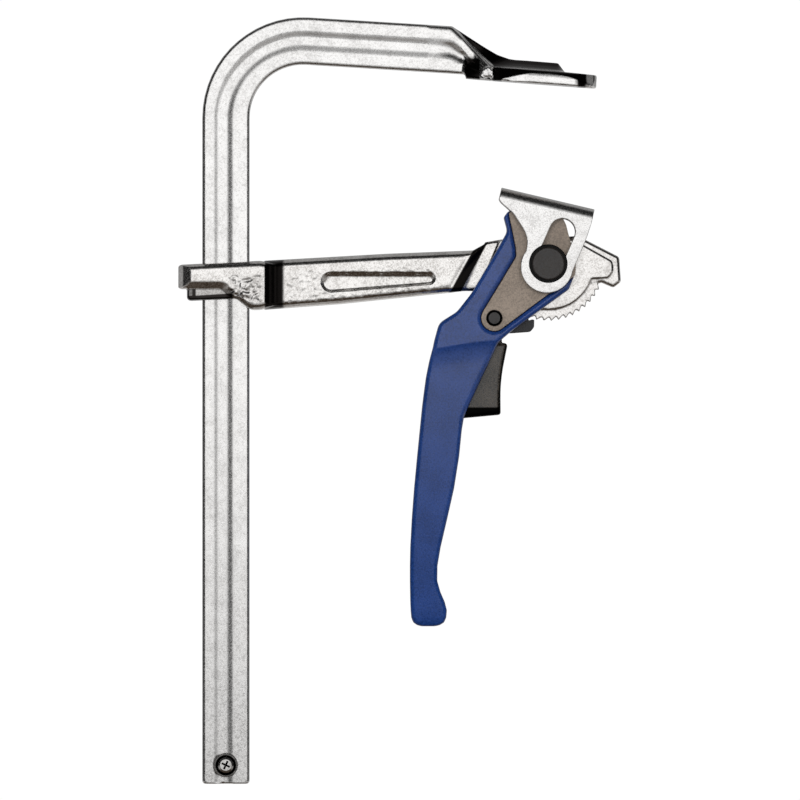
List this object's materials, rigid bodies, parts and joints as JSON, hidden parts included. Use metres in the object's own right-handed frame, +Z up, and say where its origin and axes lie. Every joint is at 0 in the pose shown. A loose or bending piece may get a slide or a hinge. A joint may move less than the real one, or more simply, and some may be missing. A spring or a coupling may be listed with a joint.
{
  "type": "quick release bar clamp",
  "caption": "Lever clamp on a bent profiled steel rail: a forged fixed jaw above, a sliding arm with a toothed head, and a ratchet lever whose cams press a tilting pad.",
  "frame": {"origin": "middle of the fixed jaw's clamping face", "axes": "+Z up along the rail, towards the fixed jaw; +X out along the jaws, away from the rail; +Y from the front face to the back face"},
  "size_m": [0.2344, 0.0388, 0.406],
  "materials": {
    "nickel_steel": "satin nickel plate with a fine forged and blasted grain",
    "zinc_steel": "bright zinc plate",
    "cam_steel": "hardened steel, matt grey brown",
    "lever_paint": "satin blue powder coat over a forging",
    "black_oxide": "black oxide, satin",
    "trigger_plastic": "black moulded plastic, fine grain",
    "spring_steel": "drawn spring wire"
  },
  "bodies": {
    "rail": {"rail": "nickel_steel", "stop_screw": "zinc_steel", "stop_cup_washer": "black_oxide", "stop_flat_washer": "zinc_steel", "stop_nut": "zinc_steel"},
    "sliding_arm": {"sliding_arm": "nickel_steel", "pivot_pin": "black_oxide", "pivot_pin_cap": "black_oxide"},
    "pad_washers": {"pad_washer_front": "black_oxide", "pad_washer_rear": "black_oxide"},
    "pressure_plate": {"pressure_plate": "nickel_steel"},
    "lever": {"lever_body": "lever_paint", "cam_plate_front": "cam_steel", "cam_plate_rear": "cam_steel", "pawl_pin": "black_oxide", "pawl_pin_cap": "black_oxide", "trigger_spring": "spring_steel"},
    "trigger": {"trigger": "trigger_plastic", "pawl": "black_oxide"}
  },
  "joints": [
    {"name": "arm_slide", "type": "slide", "parent": "rail", "child": "sliding_arm", "axis": [0, 0, 1], "range_m": [-0.239, 0.049]},
    {"name": "lever_swing", "type": "hinge", "parent": "sliding_arm", "child": "lever", "pos_m": [0, 0, -0.0949], "axis": [0, -1, 0], "range_deg": [0, 75]},
    {"name": "plate_tilt", "type": "hinge", "parent": "sliding_arm", "child": "pad_washers", "pos_m": [0, 0, -0.0949], "axis": [0, 1, 0], "range_deg": [-10, 10]},
    {"name": "plate_lift", "type": "slide", "parent": "pad_washers", "child": "pressure_plate", "axis": [0.402, 0, 0.9157], "range_m": [-0.0087, 0]},
    {"name": "trigger_press", "type": "hinge", "parent": "lever", "child": "trigger", "pos_m": [-0.0285, 0, -0.1237], "axis": [0, 1, 0], "range_deg": [-3.5, 5], "stiffness_Nm_per_rad": 1.5}
  ],
  "couplings": [
    {"joint": "plate_lift", "follows": "lever_swing", "m_per_rad": -0.00664}
  ]
}
